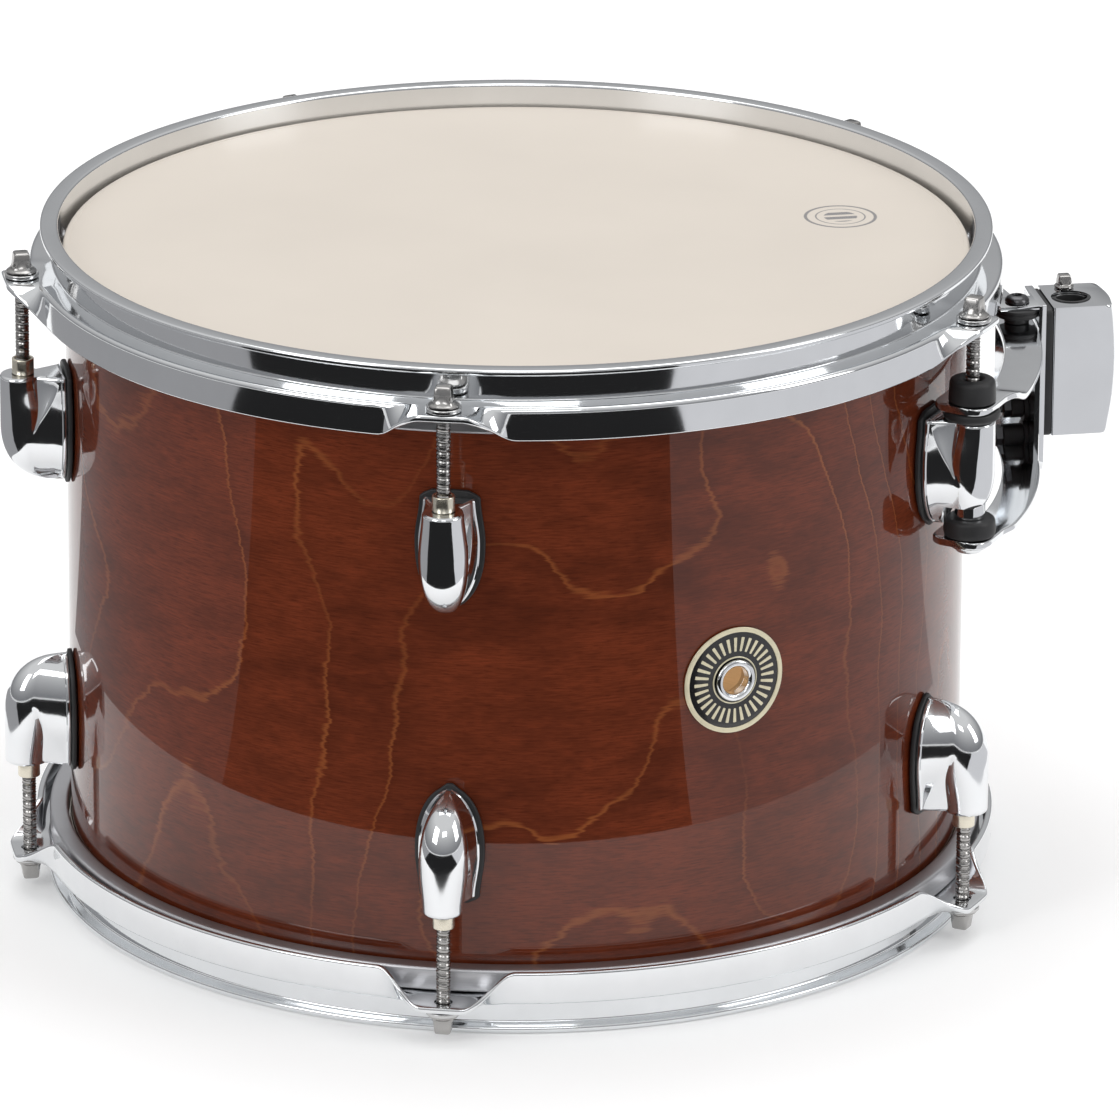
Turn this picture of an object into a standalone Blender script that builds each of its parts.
"""Double-headed rack tom: a ply shell, two tensioned heads and a suspension mount.

Frame: the origin is the centre of the batter head's striking face, +Z points up out of that
head, and +X points from the drum's axis to the suspension mount. Units are metres.

Everything at one head is built for the batter side, with heights counted outward from the
shell's bearing edge, and the resonant side is the same shape turned half a turn about X.
"""

import math

import bmesh
import bpy

MM = 0.001

# Gaps between pieces that touch, and between pieces that turn or slide past each other.
CLEAR = 0.3 * MM
RUNNING = 0.35 * MM

# Shell.
SHELL_DIAMETER = 326.0 * MM
SHELL_DEPTH = 228.6 * MM
SHELL_WALL = 6.0 * MM
EDGE_SETBACK = 2.0 * MM
EDGE_ROUND = 1.8 * MM
VENT_RADIUS = 6.6 * MM

# Heads: a film on a flesh hoop.
FILM = 0.25 * MM
COLLAR_DEPTH = 12.0 * MM
FLESH_WIDTH = 6.8 * MM
FLESH_HEIGHT = 8.6 * MM

# Counterhoops of folded sheet.
SHEET = 2.3 * MM
LIP_RISE = 8.3 * MM
LIP_FLARE = 4.5 * MM
HOOP_WALL_GAP = 1.2 * MM
LEDGE_DROP = 3.5 * MM
SKIRT_LENGTH = 10.8 * MM
SKIRT_GAP = 2.4 * MM
EAR_REACH = 11.8 * MM
EAR_HALF_WIDTH = 7.0 * MM
EAR_FLARE = 13.0 * MM
EAR_HOLE_PLAY = 0.7 * MM

# Tension rods and swivel nuts, 12-24 thread.
LUGS_PER_HEAD = 5
ROD_CIRCLE_GAP = 16.7 * MM
ROD_RADIUS = 2.6 * MM
ROD_LENGTH = 56.6 * MM
ROD_HEAD_WIDTH = 5.6 * MM
ROD_HEAD_HEIGHT = 9.5 * MM
ROD_FLANGE = 2.5 * MM
ROD_FLANGE_THICK = 0.8 * MM
ROD_CONE_HEIGHT = 2.2 * MM
WASHER = 1.3 * MM
NUT_COLLAR_WALL = 1.1 * MM
NUT_COLLAR_HEIGHT = 5.6 * MM
NUT_SHANK_WALL = 0.75 * MM
NUT_SHANK_LENGTH = 10.0 * MM

# Lugs and their gaskets.
LUG_DROP = 40.0 * MM
LUG_LENGTH = 40.6 * MM
LUG_WIDTH = 21.8 * MM
LUG_BARREL_RADIUS = 8.6 * MM
LUG_FLANGE = 1.6 * MM
LUG_BORE_RUNOUT = 5.0 * MM
GASKET = 1.7 * MM
GASKET_BORDER = 1.4 * MM

# Badge and vent grommet.
BADGE_RADIUS = 19.6 * MM
BADGE_THICK = 0.6 * MM
GROMMET_FLANGE_RADIUS = 7.6 * MM
GROMMET_RIM = 1.0 * MM

# Suspension plate: two curved flanges joined by an outer wall.
PLATE = 2.5 * MM
PLATE_OUTER_GAP = 27.5 * MM
PLATE_BAND = 14.0 * MM
PLATE_WALL = 2.1 * MM
WALL_INSET = 0.2 * MM
PLATE_WALL_ANGLE = math.radians(10)
PLATE_JOGGLE = 4.6 * MM
PAD_INNER_GAP = 4.0 * MM
PAD_BORDER = 2.6 * MM
PAD_CORNER = 3.0 * MM
PAD_BLEND = 9.0 * MM
JOGGLE_RUN = 16.0 * MM
UPPER_PLATE_LIFT = 4.2 * MM
LOWER_PLATE_GAP = 2.9 * MM

# Rubber mount grommets, posts and screws.
RUBBER_NECK_WALL = 1.7 * MM
RUBBER_LIP = 2.0 * MM
UPPER_RUBBER_HEIGHT = 8.3 * MM
LOWER_RUBBER_LIP = 3.1 * MM
LOWER_RUBBER_HEIGHT = 6.6 * MM
PAD_RUBBER_LIP = 4.6 * MM
POST_RADIUS = 5.5 * MM
SCREW_RADIUS = 2.5 * MM
SCREW_LENGTH = 18.0 * MM
SCREW_HEAD_RADIUS = 6.6 * MM
SCREW_HEAD_HEIGHT = 3.6 * MM

# Receiver for the tom arm.
RECEIVER_PLATE = 2.7 * MM
RECEIVER_PLATE_NEAR = -14.0 * MM
RECEIVER_PLATE_FAR = 11.0 * MM
RECEIVER_PLATE_TAIL = 9.0 * MM
TAB = 1.5 * MM
TAB_LIFT = 6.2 * MM
TAB_WIDTH = 12.0 * MM
TAB_BOLT_RADIUS = 2.6 * MM
TAB_BOLT_SETBACK = 7.0 * MM
BLOCK_GAP = 3.2 * MM
BLOCK_REACH = 23.5 * MM
BLOCK_BULGE = 1.6 * MM
BLOCK_NEAR = -12.5 * MM
BLOCK_FAR = 14.5 * MM
BLOCK_HEIGHT = 49.0 * MM
BLOCK_CHAMFER = 2.5 * MM
ARM_HOLE_RADIUS = 7.3 * MM
ARM_HOLE_INSET = 9.0 * MM
JAW = 1.2 * MM
JAW_MARGIN = 4.0 * MM
KEY_BOLT_WALL = 1.2 * MM
KEY_BOLT_RADIUS = 2.4 * MM
KEY_BOLT_LENGTH = 20.0 * MM
KEY_HEAD_RADIUS = 3.6 * MM
KEY_HEAD_WIDTH = 5.0 * MM
KEY_HEAD_HEIGHT = 4.7 * MM

SEGMENTS = 60
FINE = 16

# What follows from the sizes above.
SHELL_RADIUS = SHELL_DIAMETER / 2
MOUNT_LUG_ANGLE = math.pi / LUGS_PER_HEAD
VENT_ANGLE = -2 * MOUNT_LUG_ANGLE
EDGE_Z = -(FILM + CLEAR)
MID_Z = EDGE_Z - SHELL_DEPTH / 2
ROD_CIRCLE = SHELL_RADIUS + ROD_CIRCLE_GAP
HOOP_INNER = SHELL_RADIUS + CLEAR + FILM + CLEAR + HOOP_WALL_GAP
FLESH_INNER = SHELL_RADIUS + 3 * CLEAR + FILM
SKIRT_INNER = FLESH_INNER + FLESH_WIDTH + SKIRT_GAP
LEDGE_UNDER = -LEDGE_DROP - SHEET
ROD_SEAT = -LEDGE_DROP + WASHER + 2 * CLEAR
LUG_BACK = SHELL_RADIUS + CLEAR + GASKET + CLEAR
LUG_REACH = ROD_CIRCLE + LUG_BARREL_RADIUS - LUG_BACK
NUT_BORE = ROD_RADIUS + CLEAR
NUT_COLLAR_RADIUS = NUT_BORE + NUT_COLLAR_WALL
NUT_SHANK_RADIUS = NUT_BORE + NUT_SHANK_WALL
LUG_BORE = NUT_SHANK_RADIUS + RUNNING
ROD_END = ROD_SEAT - ROD_LENGTH
GROMMET_BORE = NUT_COLLAR_RADIUS + RUNNING
GROMMET_NECK = GROMMET_BORE + RUBBER_NECK_WALL
PLATE_HOLE = GROMMET_NECK + CLEAR
PAD_HALF_WIDTH = PLATE_HOLE + PAD_BORDER
PLATE_OUTER = SHELL_RADIUS + PLATE_OUTER_GAP
UPPER_PLATE_TOP = -LUG_DROP + UPPER_PLATE_LIFT + PLATE
LOWER_PLATE_TOP = -LUG_DROP - LUG_LENGTH - LOWER_PLATE_GAP
SADDLE_TOP = UPPER_PLATE_TOP - PLATE_JOGGLE
POST_END = LOWER_PLATE_TOP + CLEAR + LOWER_RUBBER_HEIGHT + CLEAR
RECEIVER_BACK = PLATE_OUTER + CLEAR
TAB_BOTTOM = SADDLE_TOP + TAB_LIFT
BLOCK_BACK = RECEIVER_BACK + RECEIVER_PLATE + BLOCK_GAP
BLOCK_TOP = TAB_BOTTOM - CLEAR
ARM_HOLE_X = BLOCK_BACK + ARM_HOLE_INSET
ARM_HOLE_Y = -0.5 * MM
KEY_BOLT_Y = ARM_HOLE_Y + ARM_HOLE_RADIUS + KEY_BOLT_WALL + CLEAR + KEY_BOLT_RADIUS
SIDES = {"batter": 1, "resonant": -1}

FINISHES = {
    "lacquered_maple": ((0.16, 0.035, 0.014), 0.22, 0.0),
    "head_film": ((0.72, 0.68, 0.61), 0.45, 0.0),
    "chrome": ((0.80, 0.81, 0.83), 0.08, 1.0),
    "aluminium": ((0.60, 0.60, 0.62), 0.35, 1.0),
    "nickel_rod": ((0.42, 0.41, 0.39), 0.22, 1.0),
    "nut_brass": ((0.72, 0.66, 0.52), 0.25, 1.0),
    "black_rubber": ((0.012, 0.012, 0.013), 0.55, 0.0),
    "badge_enamel": ((0.010, 0.010, 0.011), 0.20, 0.0),
    "clamp_liner": ((0.015, 0.015, 0.016), 0.40, 0.0),
}


def clear_scene():
    for obj in list(bpy.data.objects):
        bpy.data.objects.remove(obj, do_unlink=True)


def material(name):
    found = bpy.data.materials.get(name)
    if found:
        return found
    colour, roughness, metallic = FINISHES[name]
    made = bpy.data.materials.new(name)
    made.use_nodes = True
    surface = made.node_tree.nodes["Principled BSDF"]
    surface.inputs["Base Color"].default_value = (*colour, 1.0)
    surface.inputs["Roughness"].default_value = roughness
    surface.inputs["Metallic"].default_value = metallic
    made.diffuse_color = (*colour, 1.0)
    return made


def add_object(name, mesh, finish, parent=None):
    """Links one sub-part, shaded smooth with its sharp edges kept."""
    obj = bpy.data.objects.new(name, mesh)
    bpy.context.scene.collection.objects.link(obj)
    obj.parent = parent
    if not mesh.materials:
        mesh.materials.append(material(finish))
    mesh.shade_smooth()
    mesh.set_sharp_from_angle(angle=math.radians(35))
    return obj


def add_cutter(name, mesh, parent=None):
    cutter = bpy.data.objects.new(name, mesh)
    bpy.context.scene.collection.objects.link(cutter)
    cutter.parent = parent
    cutter.hide_render = True
    cutter.display_type = "WIRE"
    return cutter


def boolean(obj, cutter, operation="DIFFERENCE"):
    modifier = obj.modifiers.new(cutter.name, "BOOLEAN")
    modifier.object = cutter
    modifier.operation = operation


def finished(bm, name):
    """A mesh from bm with its faces pointing out."""
    bmesh.ops.recalc_face_normals(bm, faces=bm.faces)
    mesh = bpy.data.meshes.new(name)
    bm.to_mesh(mesh)
    bm.free()
    return mesh


def skin(bm, loops, closed):
    """Joins loops of points into a solid: a ring if closed, or a bar with capped ends."""
    rows = [[bm.verts.new(point) for point in loop] for loop in loops]
    pairs = list(zip(rows, rows[1:]))
    if closed:
        pairs.append((rows[-1], rows[0]))
    else:
        bm.faces.new(rows[0])
        bm.faces.new(rows[-1])
    for first, second in pairs:
        for i in range(len(first)):
            j = (i + 1) % len(first)
            bm.faces.new((first[i], first[j], second[j], second[i]))


def ring_mesh(name, profile_at, angles):
    """A solid ring: profile_at(angle) gives its closed section as (radius, height) points."""
    bm = bmesh.new()
    loops = [
        [(r * math.cos(a), r * math.sin(a), h) for r, h in profile_at(a)] for a in angles
    ]
    skin(bm, loops, closed=True)
    return finished(bm, name)


def turned_mesh(name, profile, segments):
    """A solid of revolution: profile runs from the axis at one end to the axis at the other."""
    bm = bmesh.new()
    loops = [circle(radius, height, segments) for radius, height in profile]
    skin(bm, loops, closed=False)
    return finished(bm, name)


def circle(radius, height, segments, centre=(0.0, 0.0)):
    steps = [math.tau * i / segments for i in range(segments)]
    return [
        (centre[0] + radius * math.cos(a), centre[1] + radius * math.sin(a), height) for a in steps
    ]


def square(width, height, segments):
    """A square ring of points, one at each of the angles that circle() uses."""
    points = []
    for i in range(segments):
        a = math.tau * i / segments
        reach = width / 2 / max(abs(math.cos(a)), abs(math.sin(a)))
        points.append((reach * math.cos(a), reach * math.sin(a), height))
    return points


def even_angles(segments):
    return [math.tau * i / segments for i in range(segments)]


def add_cylinders(bm, centres, radius, low, high, segments):
    """Adds one upright cylinder at each centre, for cutting or joining."""
    for centre in centres:
        skin(bm, [circle(radius, h, segments, centre) for h in (low, high)], closed=False)


def cylinders(name, centres, radius, low, high, segments=FINE):
    bm = bmesh.new()
    add_cylinders(bm, centres, radius, low, high, segments)
    return finished(bm, name)


def mix(a, b, share):
    return a + (b - a) * share


def smooth(share):
    share = min(max(share, 0.0), 1.0)
    return share * share * (3 - 2 * share)


def lug_angles():
    step = math.tau / LUGS_PER_HEAD
    return [MOUNT_LUG_ANGLE + i * step for i in range(LUGS_PER_HEAD)]


def polar(radius, angle):
    return radius * math.cos(angle), radius * math.sin(angle)


def head_frame(side):
    """An empty at the bearing edge of one head, with its Z pointing out of the drum."""
    frame = bpy.data.objects.new(side + "_side", None)
    bpy.context.scene.collection.objects.link(frame)
    frame.location = (0, 0, MID_Z + SIDES[side] * SHELL_DEPTH / 2)
    frame.rotation_euler = (0 if side == "batter" else math.pi, 0, 0)
    return frame


def lug_frame(side, index, parent):
    """An empty on a tension rod's axis, with X pointing away from the drum's axis."""
    frame = bpy.data.objects.new(f"{side}_lug_frame_{index}", None)
    bpy.context.scene.collection.objects.link(frame)
    frame.parent = parent
    angle = SIDES[side] * lug_angles()[index - 1]
    frame.location = (*polar(ROD_CIRCLE, angle), 0)
    frame.rotation_euler = (0, 0, angle)
    return frame


def build_shell():
    half = SHELL_DEPTH / 2
    inner = SHELL_RADIUS - SHELL_WALL
    peak = SHELL_RADIUS - EDGE_SETBACK
    bevel = half - (peak - inner)

    def section(_angle):
        top = [(SHELL_RADIUS, half - EDGE_ROUND), (peak, half), (inner, bevel)]
        return top + [(r, -h) for r, h in reversed(top)]

    mesh = ring_mesh("shell", section, even_angles(SEGMENTS))
    shell = add_object("shell", mesh, "lacquered_maple")
    shell.location.z = MID_Z
    vent = cylinders("vent_cut", [(0, 0)], VENT_RADIUS, -2 * SHELL_WALL, 2 * SHELL_WALL)
    cutter = add_cutter("vent_cut", vent)
    cutter.location = (*polar(SHELL_RADIUS, VENT_ANGLE), MID_Z)
    cutter.rotation_euler = (0, math.pi / 2, VENT_ANGLE)
    boolean(shell, cutter)


def build_badge():
    """Round badge plate on the shell, held by the vent grommet through its middle."""
    hole = VENT_RADIUS - CLEAR
    lift = SHELL_RADIUS + CLEAR
    flange = lift + BADGE_THICK + CLEAR

    def badge_section(_angle):
        return [(BADGE_RADIUS, lift), (BADGE_RADIUS, lift + BADGE_THICK),
                (hole, lift + BADGE_THICK), (hole, lift)]

    def grommet_section(_angle):
        sleeve = hole - CLEAR
        end = SHELL_RADIUS - SHELL_WALL - 1.0 * MM
        return [(sleeve, end), (sleeve, flange), (GROMMET_FLANGE_RADIUS, flange),
                (GROMMET_FLANGE_RADIUS - 0.6 * MM, flange + GROMMET_RIM),
                (sleeve - 1.6 * MM, flange + GROMMET_RIM),
                (sleeve - 1.0 * MM, flange), (sleeve - 1.0 * MM, end)]

    for name, section, finish in (("badge", badge_section, "badge_enamel"),
                                  ("vent_grommet", grommet_section, "chrome")):
        mesh = ring_mesh(name, section, even_angles(30))
        if name == "badge":
            bend_to_shell(mesh)
        obj = add_object(name, mesh, finish)
        obj.location.z = MID_Z
        obj.rotation_euler = (0, math.pi / 2, VENT_ANGLE)


def bend_to_shell(mesh):
    """Wraps a plate that faces local Z round the shell, whose axis is local X."""
    for vertex in mesh.vertices:
        x, y, z = vertex.co
        vertex.co = (x, z * math.sin(y / z), z * math.cos(y / z))


def build_head(side, frame):
    """Film stretched over the bearing edge, and the flesh hoop that grips its collar."""
    peak = SHELL_RADIUS - EDGE_SETBACK + CLEAR
    side_radius = SHELL_RADIUS + CLEAR
    inner = [(peak, CLEAR), (side_radius, CLEAR - EDGE_ROUND), (side_radius, -COLLAR_DEPTH)]
    outer = [(peak + FILM / 2, CLEAR + FILM), (side_radius + FILM, CLEAR + FILM - EDGE_ROUND),
             (side_radius + FILM, -COLLAR_DEPTH)]
    film = turned_mesh(side + "_head", inner + outer[::-1], SEGMENTS)
    add_object(side + "_head", film, "head_film", frame)

    top = LEDGE_UNDER - CLEAR

    def flesh_section(_angle):
        out = FLESH_INNER + FLESH_WIDTH
        return [(FLESH_INNER, top), (out, top), (out, top - FLESH_HEIGHT),
                (FLESH_INNER, top - FLESH_HEIGHT)]

    flesh = ring_mesh(side + "_flesh_hoop", flesh_section, even_angles(SEGMENTS))
    add_object(side + "_flesh_hoop", flesh, "aluminium", frame)


def hoop_angles():
    """Angles round the counterhoop, close together at each ear."""
    flat = EAR_HALF_WIDTH / ROD_CIRCLE
    flare = EAR_FLARE / ROD_CIRCLE
    half_step = math.pi / LUGS_PER_HEAD
    flare_steps, plain_steps = 4, 5
    half = [0.0] + [flat + flare * i / flare_steps for i in range(flare_steps + 1)]
    rest = half_step - half[-1]
    half += [half[-1] + rest * i / plain_steps for i in range(1, plain_steps + 1)]
    offsets = [-offset for offset in reversed(half[1:-1])] + half
    return [centre + offset for centre in lug_angles() for offset in offsets]


def ear_share(angle):
    """1 on an ear, 0 on the plain hoop, and a smooth S between them."""
    step = math.tau / LUGS_PER_HEAD
    away = abs((angle - MOUNT_LUG_ANGLE + step / 2) % step - step / 2) * ROD_CIRCLE
    return 1 - smooth((away - EAR_HALF_WIDTH) / EAR_FLARE)


def hoop_section(angle):
    """Triple-flanged section: flared lip, wall, ledge, and a skirt that folds out into each ear."""
    ear = ear_share(angle)
    inner, outer = HOOP_INNER, HOOP_INNER + SHEET
    top = CLEAR + FILM + LIP_RISE
    tip = outer + LIP_FLARE
    lip = [(inner, LEDGE_UNDER), (inner, top - 1.3 * MM), (inner + 1.6 * MM, top),
           (tip - 1.0 * MM, top), (tip, top - 1.4 * MM), (outer, top - 3.4 * MM),
           (outer, 1.5 * MM - LEDGE_DROP), (outer + 1.4 * MM, -LEDGE_DROP)]
    fold = math.radians(mix(-90, 0, ear))
    length = mix(SKIRT_LENGTH, EAR_REACH, ear)
    root = (SKIRT_INNER + SHEET / 2, -LEDGE_DROP - SHEET / 2)
    along = (math.cos(fold), math.sin(fold))
    across = (-along[1] * SHEET / 2, along[0] * SHEET / 2)
    end = (root[0] + along[0] * length, root[1] + along[1] * length)
    skirt = [(root[0] + 0.3 * across[0], -LEDGE_DROP),
             (root[0] + along[0] * 0.1 * MM + across[0], root[1] + across[1]),
             (end[0] + across[0], end[1] + across[1]),
             (end[0] - across[0], end[1] - across[1]),
             (mix(SKIRT_INNER, SKIRT_INNER + SHEET / 2, ear), LEDGE_UNDER)]
    return lip + skirt


def build_hoop(side, frame):
    hoop = add_object(side + "_hoop", ring_mesh(side + "_hoop", hoop_section, hoop_angles()),
                      "chrome", frame)
    centres = [polar(ROD_CIRCLE, angle) for angle in lug_angles()]
    holes = cylinders(side + "_ear_holes", centres, ROD_RADIUS + EAR_HOLE_PLAY,
                      2 * LEDGE_UNDER, -LEDGE_DROP / 2, 12)
    boolean(hoop, add_cutter(side + "_ear_holes", holes, frame))


def rod_mesh():
    """Tension rod: threaded shank, flange, cone and square head."""
    cone_base = ROD_SEAT + ROD_FLANGE_THICK
    head_base = cone_base + ROD_CONE_HEIGHT
    flange = ROD_RADIUS + ROD_FLANGE
    loops = [circle(ROD_RADIUS, ROD_END, FINE), circle(ROD_RADIUS, ROD_SEAT, FINE),
             circle(flange, ROD_SEAT, FINE), circle(flange, cone_base, FINE),
             square(ROD_HEAD_WIDTH, head_base, FINE),
             square(ROD_HEAD_WIDTH, ROD_SEAT + ROD_HEAD_HEIGHT, FINE)]
    bm = bmesh.new()
    skin(bm, loops, closed=False)
    return finished(bm, "tension_rod")


def nut_mesh():
    """Swivel nut: a collar that shows above the lug and a shank inside its barrel."""
    seat = -LUG_DROP + CLEAR

    def section(_angle):
        return [(NUT_BORE, seat - NUT_SHANK_LENGTH), (NUT_SHANK_RADIUS, seat - NUT_SHANK_LENGTH),
                (NUT_SHANK_RADIUS, seat), (NUT_COLLAR_RADIUS, seat),
                (NUT_COLLAR_RADIUS, seat + NUT_COLLAR_HEIGHT),
                (NUT_BORE, seat + NUT_COLLAR_HEIGHT)]

    return ring_mesh("swivel_nut", section, even_angles(12))


def hood(share, start, power):
    """1 up to start, then a blunt rounded fall to nothing at share 1."""
    fall = max(share - start, 0.0) / (1 - start)
    return max(1 - fall**2.4, 0.0) ** power


def base_half_width(share):
    swell = mix(0.84, 1.0, smooth(share / 0.4))
    return LUG_WIDTH / 2 * swell * max(hood(share, 0.4, 0.6), 0.12)


def lug_section(share, height):
    """Level section of a lug: base flange at the back, waist, and barrel in front."""
    wide = base_half_width(share)
    reach = LUG_REACH * max(hood(share, 0.6, 0.36), 0.2)
    barrel = min(LUG_BARREL_RADIUS * mix(0.95, 1.0, smooth(share / 0.4)), 0.82 * wide)
    centre = reach * (1 - LUG_BARREL_RADIUS / LUG_REACH)
    front = reach - centre
    waist = mix(0.6 * LUG_BARREL_RADIUS, (wide + barrel) / 2, smooth(share / 0.6))
    half = [(0.0, wide), (min(LUG_FLANGE, 0.3 * reach), wide), (0.36 * reach, waist),
            (centre - 0.6 * front, 0.8 * barrel), (centre, barrel),
            (centre + 0.71 * front, 0.71 * barrel)]
    outline = half + [(reach, 0.0)] + [(x, -y) for x, y in reversed(half)]
    back = LUG_BACK - ROD_CIRCLE
    return [(back + x, y, height) for x, y in outline]


def lug_mesh(name):
    shares = (0.0, 0.2, 0.42, 0.7, 0.86, 0.95, 1.0)
    bm = bmesh.new()
    skin(bm, [lug_section(s, -LUG_DROP - s * LUG_LENGTH) for s in shares], closed=False)
    return finished(bm, name)


def gasket_mesh():
    """Flat pad a little larger than the lug's base all round."""
    back = SHELL_RADIUS + CLEAR - ROD_CIRCLE
    shares = (0.0, 0.25, 0.55, 0.8, 0.95)
    half = [(base_half_width(s) + GASKET_BORDER, -LUG_DROP - s * LUG_LENGTH) for s in shares]
    half = [(half[0][0] - GASKET_BORDER, -LUG_DROP + 1.5 * GASKET_BORDER)] + half
    half.append((half[-1][0] / 2, -LUG_DROP - LUG_LENGTH - GASKET_BORDER))
    outline = half + [(-y, z) for y, z in reversed(half)]
    bm = bmesh.new()
    skin(bm, [[(x, y, z) for y, z in outline] for x in (back, back + GASKET)], closed=False)
    return finished(bm, "lug_gasket")


def is_mount_lug(side, index):
    return side == "batter" and index in (1, LUGS_PER_HEAD)


def build_lugs(side, frame):
    """Every lug with its gasket, swivel nut and tension rod."""
    lug_shape, gasket_shape = lug_mesh("lug"), gasket_mesh()
    nut_shape, rod_shape = nut_mesh(), rod_mesh()
    bore_shape = cylinders("lug_bore", [(0, 0)], LUG_BORE, ROD_END - LUG_BORE_RUNOUT,
                           -LUG_DROP + MM, 12)
    for index in range(1, LUGS_PER_HEAD + 1):
        place = lug_frame(side, index, frame)
        shape = lug_mesh(f"{side}_lug_{index}") if is_mount_lug(side, index) else lug_shape
        lug = add_object(f"{side}_lug_{index}", shape, "chrome", place)
        if is_mount_lug(side, index):
            add_post(lug, index, place)
        boolean(lug, add_cutter(f"{side}_lug_bore_{index}", bore_shape, place))
        add_object(f"{side}_lug_gasket_{index}", gasket_shape, "black_rubber", place)
        add_object(f"{side}_swivel_nut_{index}", nut_shape, "nut_brass", place)
        add_object(f"{side}_tension_rod_{index}", rod_shape, "nickel_rod", place)


def add_post(lug, index, place):
    """Post under a mount lug, drilled for its screw, with room for the lower grommet."""
    lug_end = -LUG_DROP - LUG_LENGTH
    relief = cylinders("relief", [(0, 0)], PLATE_HOLE + LOWER_RUBBER_LIP + 2 * CLEAR,
                       lug_end - MM, POST_END)
    post = cylinders("post", [(0, 0)], POST_RADIUS, POST_END, POST_END + 0.45 * LUG_LENGTH)
    hole = cylinders("screw_hole", [(0, 0)], SCREW_RADIUS + CLEAR, POST_END - MM,
                     LOWER_PLATE_TOP - PLATE + SCREW_LENGTH + MM)
    boolean(lug, add_cutter(f"lug_relief_{index}", relief, place))
    boolean(lug, add_cutter(f"lug_post_{index}", post, place), "UNION")
    boolean(lug, add_cutter(f"lug_screw_hole_{index}", hole, place))


def pad_start():
    return MOUNT_LUG_ANGLE - PAD_HALF_WIDTH / ROD_CIRCLE


def band_profile(angle, top, joggled):
    """Section of a plate flange: a flat band that widens into a pad over each mount lug."""
    away = abs(angle)
    before = (pad_start() - away) * ROD_CIRCLE
    widen = 1 - smooth(before / PAD_BLEND)
    past = max(away - MOUNT_LUG_ANGLE, 0.0) * ROD_CIRCLE / PAD_HALF_WIDTH
    corner = PAD_CORNER * (1 - math.sqrt(max(1 - past**4, 0.0)))
    inner = mix(PLATE_OUTER - PLATE_BAND, SHELL_RADIUS + PAD_INNER_GAP, widen) + corner
    outer = mix(PLATE_OUTER, ROD_CIRCLE + PLATE_HOLE + PAD_BORDER, widen) - corner
    if joggled:
        top -= PLATE_JOGGLE * smooth((before - PAD_BLEND / 2) / JOGGLE_RUN)
    return [(inner, top - PLATE), (outer, top - PLATE), (outer, top), (inner, top)]


def band_mesh(name, top, joggled):
    end = MOUNT_LUG_ANGLE + PAD_HALF_WIDTH / ROD_CIRCLE
    start = pad_start() - (PAD_BLEND / 2 + JOGGLE_RUN) / ROD_CIRCLE
    half = [start * i / 5 for i in range(5)] + [mix(start, end, i / 12) for i in range(13)]
    angles = [-a for a in reversed(half[1:])] + half
    bm = bmesh.new()
    loops = [[(*polar(r, a), h) for r, h in band_profile(a, top, joggled)] for a in angles]
    skin(bm, loops, closed=False)
    return finished(bm, name)


def wall_mesh(name):
    """Outer wall between the two flanges, sunk half their thickness into each."""
    outer = PLATE_OUTER - WALL_INSET
    low, high = LOWER_PLATE_TOP - PLATE / 2, SADDLE_TOP - PLATE / 2
    angles = [mix(-PLATE_WALL_ANGLE, PLATE_WALL_ANGLE, i / 4) for i in range(5)]
    loops = []
    for angle in angles:
        section = [(outer - PLATE_WALL, low), (outer, low), (outer, high), (outer - PLATE_WALL, high)]
        loops.append([(*polar(r, angle), h) for r, h in section])
    bm = bmesh.new()
    skin(bm, loops, closed=False)
    return finished(bm, name)


def tab_bolt_centre():
    return RECEIVER_BACK - TAB_BOLT_SETBACK, RECEIVER_PLATE_NEAR + TAB_WIDTH / 2


def build_suspension_plate(frame):
    plate = add_object("suspension_plate", band_mesh("suspension_plate", UPPER_PLATE_TOP, True),
                       "chrome", frame)
    lower = add_cutter("lower_flange", band_mesh("lower_flange", LOWER_PLATE_TOP, False), frame)
    boolean(plate, add_cutter("plate_wall", wall_mesh("plate_wall"), frame), "UNION")
    boolean(plate, lower, "UNION")
    centres = [polar(ROD_CIRCLE, side * MOUNT_LUG_ANGLE) for side in (1, -1)]
    holes = cylinders("plate_holes", centres, PLATE_HOLE,
                      LOWER_PLATE_TOP - 2 * PLATE, UPPER_PLATE_TOP + PLATE)
    boolean(plate, add_cutter("plate_holes", holes, frame))
    bolt_hole = cylinders("tab_bolt_hole", [tab_bolt_centre()], TAB_BOLT_RADIUS + CLEAR,
                          SADDLE_TOP - 2 * PLATE, SADDLE_TOP + PLATE)
    boolean(plate, add_cutter("tab_bolt_hole", bolt_hole, frame))


def upper_grommet_mesh():
    """Rubber bush in the upper flange, round the rod and the swivel nut's collar."""
    low, under = -LUG_DROP + CLEAR, UPPER_PLATE_TOP - PLATE - CLEAR
    over = UPPER_PLATE_TOP + CLEAR
    top = over + UPPER_RUBBER_HEIGHT
    rod_bore = ROD_RADIUS + RUNNING
    step = low + NUT_COLLAR_HEIGHT + RUNNING
    lip, pad = PLATE_HOLE + RUBBER_LIP, PLATE_HOLE + PAD_RUBBER_LIP

    def section(_angle):
        return [(GROMMET_BORE, low), (pad, low), (pad, under), (GROMMET_NECK, under),
                (GROMMET_NECK, over), (lip, over), (lip, top - 1.2 * MM), (lip - 1.2 * MM, top),
                (rod_bore, top), (rod_bore, step), (GROMMET_BORE, step)]

    return ring_mesh("upper_mount_grommet", section, even_angles(FINE))


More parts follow.
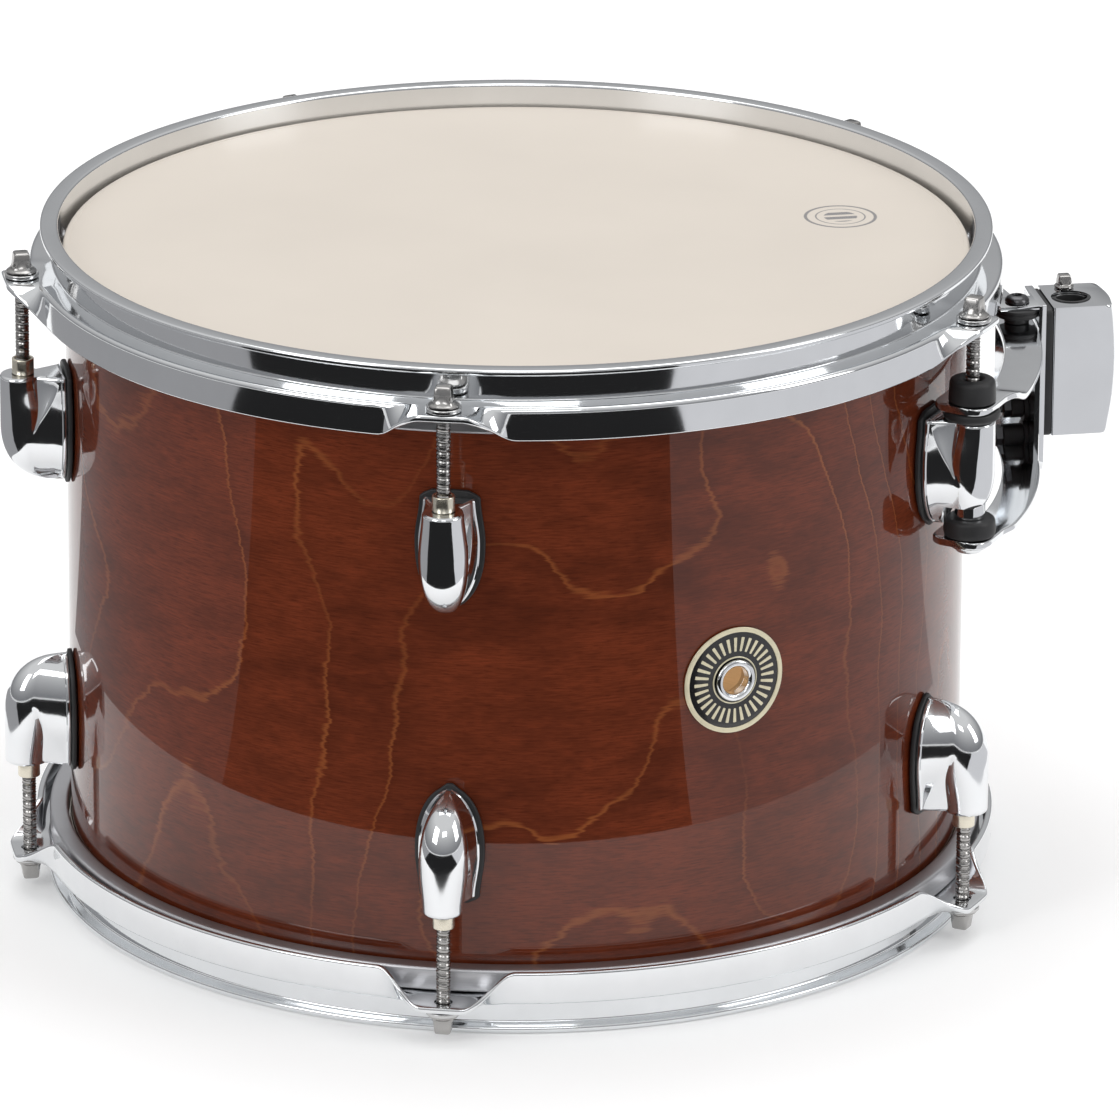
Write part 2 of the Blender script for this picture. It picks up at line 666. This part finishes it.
def lower_grommet_mesh():
    """Rubber bush on the lower flange, under a mount lug's post."""
    over = LOWER_PLATE_TOP + CLEAR
    top = over + LOWER_RUBBER_HEIGHT
    bore = SCREW_RADIUS + CLEAR
    lip = PLATE_HOLE + LOWER_RUBBER_LIP

    def section(_angle):
        return [(bore, LOWER_PLATE_TOP - PLATE), (GROMMET_NECK, LOWER_PLATE_TOP - PLATE),
                (GROMMET_NECK, over), (lip, over), (lip, top - MM), (lip - MM, top), (bore, top)]

    return ring_mesh("lower_mount_grommet", section, even_angles(FINE))


def mount_screw_mesh():
    seat = LOWER_PLATE_TOP - PLATE - CLEAR
    profile = [(SCREW_HEAD_RADIUS - 1.6 * MM, seat - SCREW_HEAD_HEIGHT),
               (SCREW_HEAD_RADIUS, seat - SCREW_HEAD_HEIGHT / 2), (SCREW_HEAD_RADIUS, seat),
               (SCREW_RADIUS, seat), (SCREW_RADIUS, seat + SCREW_LENGTH)]
    return turned_mesh("mount_screw", profile, FINE)


def build_mount_rubber(frame):
    shapes = (("upper_mount_grommet", upper_grommet_mesh(), "black_rubber"),
              ("lower_mount_grommet", lower_grommet_mesh(), "black_rubber"),
              ("mount_screw", mount_screw_mesh(), "chrome"))
    for where, turn in (("front", -1), ("rear", 1)):
        for name, mesh, finish in shapes:
            piece = add_object(f"{name}_{where}", mesh, finish, frame)
            piece.location = (*polar(ROD_CIRCLE, turn * MOUNT_LUG_ANGLE), 0)


def prism(name, outline, low, high):
    """An upright prism on a plan outline."""
    bm = bmesh.new()
    skin(bm, [[(x, y, h) for x, y in outline] for h in (low, high)], closed=False)
    return finished(bm, name)


def rectangle(x0, x1, y0, y1):
    return [(x0, y0), (x1, y0), (x1, y1), (x0, y1)]


def build_receiver_plate(frame):
    """Bracket plate behind the receiver, with a tab folded over the upper flange."""
    front = RECEIVER_BACK + RECEIVER_PLATE
    low = LOWER_PLATE_TOP - PLATE - RECEIVER_PLATE_TAIL
    top = TAB_BOTTOM + TAB
    upright = rectangle(RECEIVER_BACK, front, RECEIVER_PLATE_NEAR, RECEIVER_PLATE_FAR)
    plate = add_object("receiver_plate", prism("receiver_plate", upright, low, top), "chrome", frame)
    tab_outline = rectangle(PLATE_OUTER - PLATE_BAND, front - RECEIVER_PLATE / 2,
                            RECEIVER_PLATE_NEAR + 0.05 * MM, RECEIVER_PLATE_NEAR + TAB_WIDTH)
    tab = prism("tab", tab_outline, TAB_BOTTOM, top - 0.05 * MM)
    boolean(plate, add_cutter("tab", tab, frame), "UNION")
    hole = cylinders("tab_hole", [tab_bolt_centre()], TAB_BOLT_RADIUS + CLEAR,
                     TAB_BOTTOM - TAB, TAB_BOTTOM + 2 * TAB)
    boolean(plate, add_cutter("tab_hole", hole, frame))


def block_outline(reach):
    corner = BLOCK_CHAMFER
    front = BLOCK_BACK + reach
    return [(BLOCK_BACK, BLOCK_NEAR), (front - corner, BLOCK_NEAR), (front, BLOCK_NEAR + corner),
            (front + 0.3 * MM, (BLOCK_NEAR + BLOCK_FAR) / 2), (front, BLOCK_FAR - corner),
            (front - corner, BLOCK_FAR), (BLOCK_BACK, BLOCK_FAR)]


def build_receiver(frame):
    """Receiver block with an upright passage for the tom arm, its liner jaw and its key bolt."""
    low = BLOCK_TOP - BLOCK_HEIGHT
    levels = [(0.0, BLOCK_REACH - 2 * MM), (0.25, BLOCK_REACH), (0.6, BLOCK_REACH + BLOCK_BULGE),
              (1.0, BLOCK_REACH)]
    bm = bmesh.new()
    skin(bm, [[(x, y, low + share * BLOCK_HEIGHT) for x, y in block_outline(reach)]
              for share, reach in levels], closed=False)
    block = add_object("receiver_block", finished(bm, "receiver_block"), "chrome", frame)
    passage = cylinders("arm_passage", [(ARM_HOLE_X, ARM_HOLE_Y)], ARM_HOLE_RADIUS,
                        low - MM, BLOCK_TOP + MM, 24)
    boolean(block, add_cutter("arm_passage", passage, frame))
    key_hole = cylinders("key_bolt_hole", [(ARM_HOLE_X, KEY_BOLT_Y)], KEY_BOLT_RADIUS + CLEAR,
                         BLOCK_TOP - KEY_BOLT_LENGTH - MM, BLOCK_TOP + MM)
    boolean(block, add_cutter("key_bolt_hole", key_hole, frame))
    build_jaw(frame, low)
    build_key_bolt(frame)


def build_jaw(frame, block_low):
    """Half liner between the key bolt and the arm, which slides towards the arm to clamp it."""
    outer = ARM_HOLE_RADIUS - RUNNING
    height = BLOCK_HEIGHT - JAW_MARGIN
    spread = math.radians(70)
    loops = []
    for i in range(9):
        angle = math.pi / 2 + mix(-spread, spread, i / 8)
        section = [(outer - JAW, 0.0), (outer, 0.0), (outer, height), (outer - JAW, height)]
        loops.append([(*polar(r, angle), h) for r, h in section])
    bm = bmesh.new()
    skin(bm, loops, closed=False)
    jaw = add_object("clamp_jaw", finished(bm, "clamp_jaw"), "clamp_liner", frame)
    jaw.location = (ARM_HOLE_X, ARM_HOLE_Y, block_low + 0.75 * JAW_MARGIN)


def build_key_bolt(frame):
    seat = CLEAR
    loops = [circle(KEY_BOLT_RADIUS, -KEY_BOLT_LENGTH, FINE), circle(KEY_BOLT_RADIUS, seat, FINE),
             circle(KEY_HEAD_RADIUS, seat, FINE), circle(KEY_HEAD_RADIUS, seat + 0.8 * MM, FINE),
             square(KEY_HEAD_WIDTH, seat + 1.6 * MM, FINE),
             square(KEY_HEAD_WIDTH - 0.6 * MM, seat + KEY_HEAD_HEIGHT, FINE)]
    bm = bmesh.new()
    skin(bm, loops, closed=False)
    bolt = add_object("clamp_bolt", finished(bm, "clamp_bolt"), "nickel_rod", frame)
    bolt.location = (ARM_HOLE_X, KEY_BOLT_Y, BLOCK_TOP)


def main():
    clear_scene()
    build_shell()
    build_badge()
    frames = {side: head_frame(side) for side in SIDES}
    for side, frame in frames.items():
        build_head(side, frame)
        build_hoop(side, frame)
        build_lugs(side, frame)
    build_suspension_plate(frames["batter"])
    build_mount_rubber(frames["batter"])
    build_receiver_plate(frames["batter"])
    build_receiver(frames["batter"])


main()
